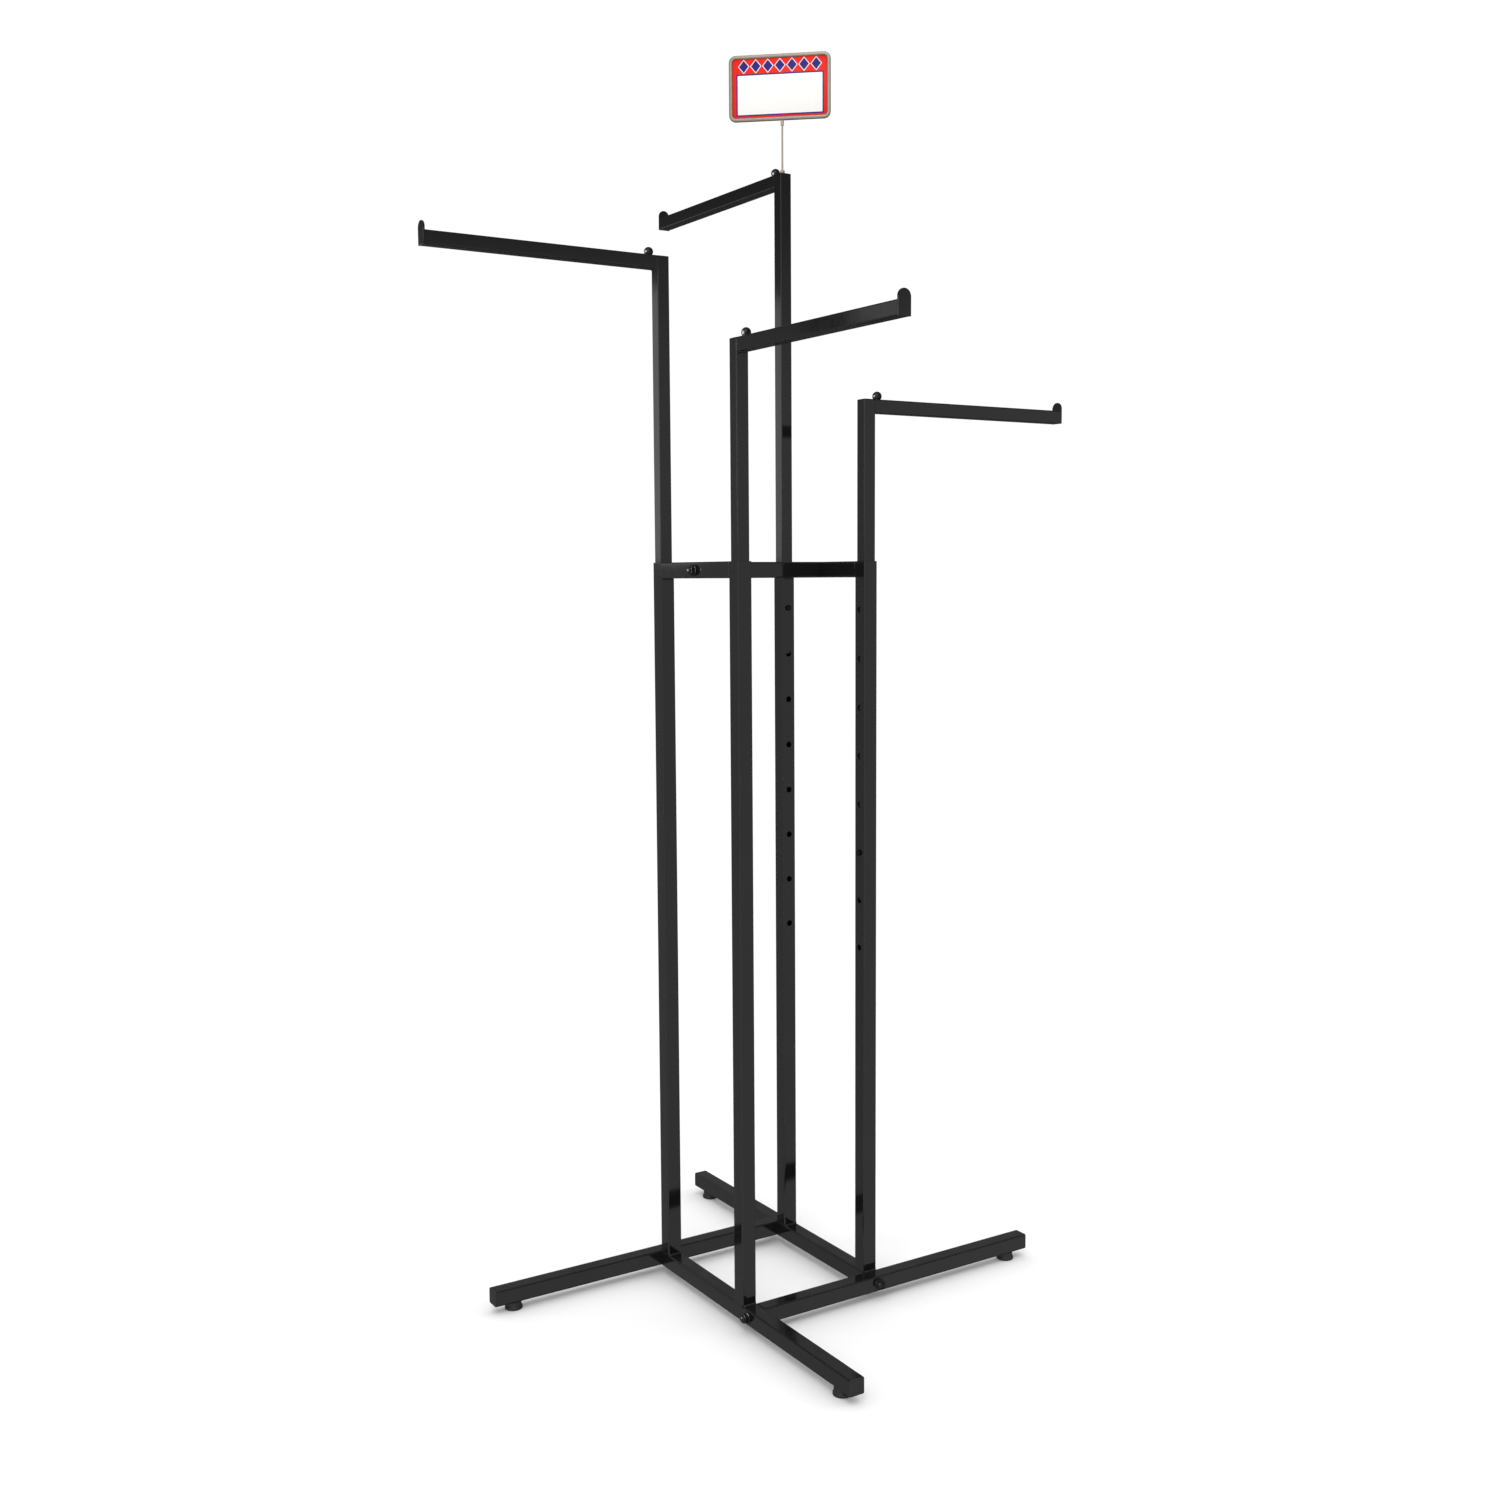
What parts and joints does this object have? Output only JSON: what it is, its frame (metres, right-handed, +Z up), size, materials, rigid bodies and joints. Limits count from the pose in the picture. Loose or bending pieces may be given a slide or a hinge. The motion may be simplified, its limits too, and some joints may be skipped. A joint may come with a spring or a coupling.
{
  "type": "four way clothing rack",
  "caption": "Free-standing garment rack: straight arms pinwheel off telescoping square uprights with snap-button heights, on a footed tube base, with a swivelling sign holder.",
  "frame": {"origin": "centre of the base on the floor plane, midway between the uprights", "axes": "+Z up; +X along the right arm, +Y along the back arm"},
  "size_m": [1.018, 1.018, 1.9935],
  "materials": {
    "black_coat": "semi-gloss black powder coat on steel tube",
    "black_plastic": "moulded black plastic, fine texture",
    "black_fastener": "black oxide, semi-gloss",
    "insert_steel": "bare steel, hidden inside the tube ends",
    "black_ball": "high-gloss black",
    "button_black": "black coated spring steel, semi-gloss",
    "satin_metal": "satin nickel plate",
    "printed_card": "red printed card, satin"
  },
  "bodies": {
    "frame": {"base_bar_left": "black_coat", "top_rail_left": "black_coat", "top_bolt_left": "black_fastener", "top_insert_left": "insert_steel", "base_bar_right": "black_coat", "top_rail_right": "black_coat", "top_bolt_right": "black_fastener", "top_insert_right": "insert_steel", "foot_bar_front": "black_coat", "foot_bar_rear": "black_coat", "cross_bar": "black_coat", "foot_cap_front": "black_plastic", "foot_cap_rear": "black_plastic", "foot_cap_right": "black_plastic", "foot_cap_left": "black_plastic", "base_bolt_front_left": "black_fastener", "base_insert_front_left": "insert_steel", "base_bolt_rear_right": "black_fastener", "base_insert_rear_right": "insert_steel", "base_bolt_front_right": "black_fastener", "base_insert_front_right": "insert_steel", "base_bolt_rear_left": "black_fastener", "base_insert_rear_left": "insert_steel", "outer_upright_left": "black_coat", "outer_upright_front": "black_coat", "outer_upright_right": "black_coat", "outer_upright_back": "black_coat"},
    "foot_front": {"leveler_front": "black_plastic"},
    "foot_rear": {"leveler_rear": "black_plastic"},
    "foot_right": {"leveler_right": "black_plastic"},
    "foot_left": {"leveler_left": "black_plastic"},
    "arm_post_left": {"inner_upright_left": "black_coat", "upright_cap_left": "black_coat", "arm_left": "black_coat", "end_stop_left": "black_coat", "ball_stop_left": "black_ball"},
    "button_left": {"snap_button_left": "button_black"},
    "arm_post_front": {"inner_upright_front": "black_coat", "upright_cap_front": "black_coat", "arm_front": "black_coat", "end_stop_front": "black_coat", "ball_stop_front": "black_ball"},
    "button_front": {"snap_button_front": "button_black"},
    "arm_post_right": {"inner_upright_right": "black_coat", "upright_cap_right": "black_coat", "arm_right": "black_coat", "end_stop_right": "black_coat", "ball_stop_right": "black_ball"},
    "button_right": {"snap_button_right": "button_black"},
    "arm_post_back": {"inner_upright_back": "black_coat", "upright_cap_back": "black_coat", "arm_back": "black_coat", "end_stop_back": "black_coat", "ball_stop_back": "black_ball", "sign_socket": "satin_metal"},
    "button_back": {"snap_button_back": "button_black"},
    "sign": {"sign_stem": "satin_metal", "sign_frame": "satin_metal"},
    "card": {"sign_card": "printed_card"}
  },
  "joints": [
    {"name": "left_arm_height", "type": "slide", "parent": "frame", "child": "arm_post_left", "axis": [0, 0, 1], "range_m": [-0.3048, 0.1524], "stiffness_N_per_m": 8000, "springref_m": 0.00107},
    {"name": "front_arm_height", "type": "slide", "parent": "frame", "child": "arm_post_front", "axis": [0, 0, 1], "range_m": [-0.1524, 0.3048], "stiffness_N_per_m": 8000, "springref_m": 0.00107},
    {"name": "right_arm_height", "type": "slide", "parent": "frame", "child": "arm_post_right", "axis": [0, 0, 1], "range_m": [-0.0762, 0.381], "stiffness_N_per_m": 8000, "springref_m": 0.00107},
    {"name": "back_arm_height", "type": "slide", "parent": "frame", "child": "arm_post_back", "axis": [0, 0, 1], "range_m": [-0.4572, 0], "stiffness_N_per_m": 8000, "springref_m": 0.0012},
    {"name": "left_button_press", "type": "slide", "parent": "arm_post_left", "child": "button_left", "axis": [-1, 0, 0], "range_m": [0, 0.007], "stiffness_N_per_m": 1200, "springref_m": -0.004},
    {"name": "front_button_press", "type": "slide", "parent": "arm_post_front", "child": "button_front", "axis": [0, -1, 0], "range_m": [0, 0.007], "stiffness_N_per_m": 1200, "springref_m": -0.004},
    {"name": "right_button_press", "type": "slide", "parent": "arm_post_right", "child": "button_right", "axis": [1, 0, 0], "range_m": [0, 0.007], "stiffness_N_per_m": 1200, "springref_m": -0.004},
    {"name": "back_button_press", "type": "slide", "parent": "arm_post_back", "child": "button_back", "axis": [0, 1, 0], "range_m": [0, 0.007], "stiffness_N_per_m": 1200, "springref_m": -0.004},
    {"name": "front_leveler_screw", "type": "slide", "parent": "frame", "child": "foot_front", "axis": [0, 0, -1], "range_m": [0, 0.01], "stiffness_N_per_m": 3000, "springref_m": -0.001},
    {"name": "rear_leveler_screw", "type": "slide", "parent": "frame", "child": "foot_rear", "axis": [0, 0, -1], "range_m": [0, 0.01], "stiffness_N_per_m": 3000, "springref_m": -0.001},
    {"name": "right_leveler_screw", "type": "slide", "parent": "frame", "child": "foot_right", "axis": [0, 0, -1], "range_m": [0, 0.01], "stiffness_N_per_m": 3000, "springref_m": -0.001},
    {"name": "left_leveler_screw", "type": "slide", "parent": "frame", "child": "foot_left", "axis": [0, 0, -1], "range_m": [0, 0.01], "stiffness_N_per_m": 3000, "springref_m": -0.001},
    {"name": "sign_swivel", "type": "hinge", "parent": "arm_post_back", "child": "sign", "pos_m": [0.115, 0.115, 1.8045], "axis": [0, 0, 1], "continuous": true},
    {"name": "card_lift", "type": "slide", "parent": "sign", "child": "card", "axis": [0, 0, 1], "range_m": [0, 0.09]}
  ]
}
